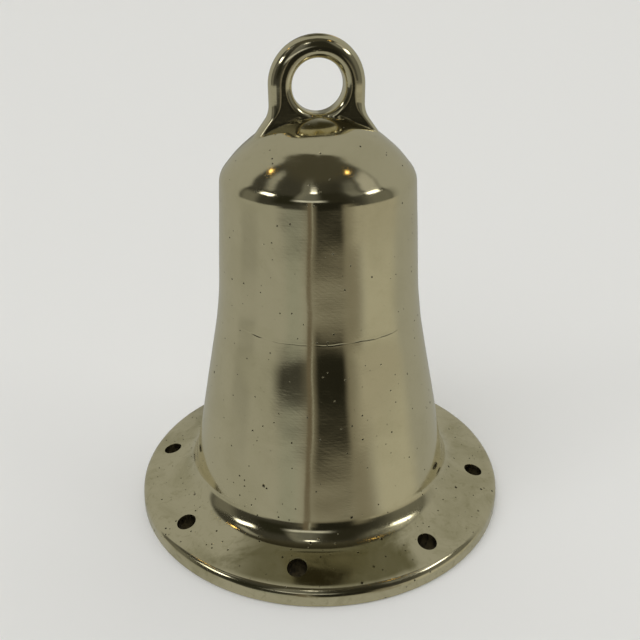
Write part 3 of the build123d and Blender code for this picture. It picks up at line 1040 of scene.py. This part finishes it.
def casting_finish(piece):
    """Number of the finish on each face: 0 polished, 1 sand-cast, 2 drilled."""
    count = len(piece.data.polygons)
    centre = np.zeros(count * 3)
    piece.data.polygons.foreach_get("center", centre)
    centre = centre.reshape(-1, 3)
    radius = np.hypot(centre[:, 0], centre[:, 1])
    in_wall = np.interp(centre[:, 2], inside[:, 1], inside[:, 0]) + skin_depth
    finish = np.where((radius < in_wall) & (centre[:, 2] < dome_surface(radius) - crown_skin), 1, 0)
    finish = np.where(centre[:, 2] < hole_skin, 0, finish)
    angle = np.arctan2(centre[:, 1], centre[:, 0]) - first_bolt
    step = 2 * pi / bolt_count
    nearest = np.round(angle / step) * step + first_bolt
    off = np.hypot(centre[:, 0] - bolt_circle * np.cos(nearest), centre[:, 1] - bolt_circle * np.sin(nearest))
    return np.where(off < bolt_radius + hole_skin, 2, finish)


bell.data.polygons.foreach_set("material_index", casting_finish(bell))
print("faces of each finish", np.bincount(casting_finish(bell)))

# %% [markdown]
# ## The clapper and its hanger
#
# The parts inside keep the shapes that the engineering model gives them, and only take finishes. Three
# recipes cover them. A turned finish has rings round the part's own axis. A forged finish has scale and
# hammer marks. A plated or drawn finish is smooth, with worn edges where bare metal shows.

# %% Wear group
wear_group, given, put = node_group(
    "edge_wear", [("Place", VECTOR, None), ("Low", NUMBER, 0.51), ("High", NUMBER, 0.56)], [("Mask", NUMBER)]
)
pointed = add_node(wear_group, "ShaderNodeNewGeometry").outputs["Pointiness"]
noise_inputs = {"Vector": given["Place"], "Scale": 700.0, "Detail": 3.0}
ragged = add_node(wear_group, "ShaderNodeTexNoise", noise_inputs).outputs[0]
pointed = calculate(wear_group, "MULTIPLY_ADD", calculate(wear_group, "SUBTRACT", ragged, 0.5), 0.06, pointed)
wear_group.links.new(smooth_step(wear_group, pointed, given["Low"], given["High"]), put["Mask"])
print("group", wear_group.name)


# %% Recipes for the inner parts
def dress(tree, shader, place, colour, film, film_share, rough, rough_spread):
    """Colour and roughness that most inner parts share: tarnish clouds, then bare metal on the edges."""
    clouds = use_group(tree, cloud_group, Place=place, Scale=120.0, Low=0.40, High=0.70)
    worn = use_group(tree, wear_group, Place=place)
    film_mask = calculate(tree, "MULTIPLY", clouds["Mask"], film_share)
    shade = mix_colours(tree, film_mask, (*colour, 1), (*film, 1))
    bare = tuple(min(1.0, c * 1.25) for c in colour)
    shade = mix_colours(tree, calculate(tree, "MULTIPLY", worn["Mask"], 0.7), shade, (*bare, 1))
    tree.links.new(shade, shader.inputs["Base Color"])
    rough_now = calculate(tree, "MULTIPLY_ADD", clouds["Mask"], rough_spread, rough)
    tree.links.new(rough_now, shader.inputs["Roughness"])


def turned_finish(name, colour, film, film_share=0.6, rough=0.22):
    """Lathe rings: fine lines that run round the upright axis."""
    material, tree, shader, place = metal(name, colour, rough)
    dress(tree, shader, place, colour, film, film_share, rough, 0.25)
    lines = use_group(tree, line_group, Place=place, Fineness=2600.0, Slant=0.0)
    pits = use_group(tree, pit_group, Place=place, Spacing=3.0 * mm, Share=0.3, Size=0.08)
    normal = bump(tree, lines["Height"], 0.02 * mm)
    tree.links.new(bump(tree, pits["Mask"], -0.1 * mm, normal=normal), shader.inputs["Normal"])
    return material


def forged_finish(name, colour, film, film_share=0.8, rough=0.42):
    """Forge scale and soft hammer marks."""
    material, tree, shader, place = metal(name, colour, rough)
    dress(tree, shader, place, colour, film, film_share, rough, 0.3)
    inputs = {"Vector": place, "Scale": 170.0}
    hammer = add_node(tree, "ShaderNodeTexVoronoi", inputs, feature="SMOOTH_F1").outputs[0]
    scale = add_node(tree, "ShaderNodeTexNoise", {"Vector": place, "Scale": 1300.0, "Detail": 4.0}).outputs[0]
    normal = bump(tree, hammer, 0.35 * mm)
    tree.links.new(bump(tree, scale, 0.06 * mm, normal=normal), shader.inputs["Normal"])
    return material


def smooth_finish(name, colour, film, film_share=0.4, rough=0.25):
    """Drawn or plated stock: faint grain and a few pits."""
    material, tree, shader, place = metal(name, colour, rough)
    dress(tree, shader, place, colour, film, film_share, rough, 0.2)
    grain = add_node(tree, "ShaderNodeTexNoise", {"Vector": place, "Scale": 2400.0, "Detail": 2.0}).outputs[0]
    pits = use_group(tree, pit_group, Place=place, Spacing=2.0 * mm, Share=0.2, Size=0.08)
    normal = bump(tree, grain, 0.01 * mm)
    tree.links.new(bump(tree, pits["Mask"], -0.06 * mm, normal=normal), shader.inputs["Normal"])
    return material


# %% Finishes of the inner parts
olive = (0.30, 0.26, 0.12)
brown = (0.14, 0.085, 0.04)
rust = (0.16, 0.07, 0.03)
grey = (0.18, 0.18, 0.17)
forged_bronze = forged_finish("forged_bronze", (0.50, 0.36, 0.19), brown)
inner_finishes = {
    "hanger_clevis": forged_bronze,
    "clapper_shank": forged_bronze,
    "lanyard_eye": forged_bronze,
    "hanger_lock_washer": smooth_finish("spring_steel", (0.46, 0.46, 0.45), rust, 0.5, 0.35),
    "hanger_lock_nut": smooth_finish("steel_nut", (0.55, 0.55, 0.53), rust, 0.35, 0.3),
    "hinge_pin": smooth_finish("steel_pin", (0.60, 0.60, 0.58), grey, 0.4, 0.22),
    "hinge_split_pin": smooth_finish("split_pin_brass", (0.72, 0.58, 0.30), olive, 0.4, 0.28),
    "clapper_bush": smooth_finish("bush_bronze", (0.62, 0.42, 0.22), brown, 0.3, 0.2),
    "clapper_ball": turned_finish("turned_brass_ball", (0.74, 0.62, 0.36), olive, 0.7, 0.24),
    "ball_lock_nut": smooth_finish("brass_nut", (0.72, 0.60, 0.34), olive, 0.5, 0.3),
}
bronze_washer = smooth_finish("bronze_washer", (0.60, 0.44, 0.24), brown, 0.4, 0.3)
for washer in ("hinge_thrust_washers", "hinge_end_washer", "ball_washer"):
    inner_finishes[washer] = bronze_washer
for node, finish in inner_finishes.items():
    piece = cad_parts[node]
    piece.data.materials.clear()
    piece.data.materials.append(finish)
print("inner parts finished", len(inner_finishes))
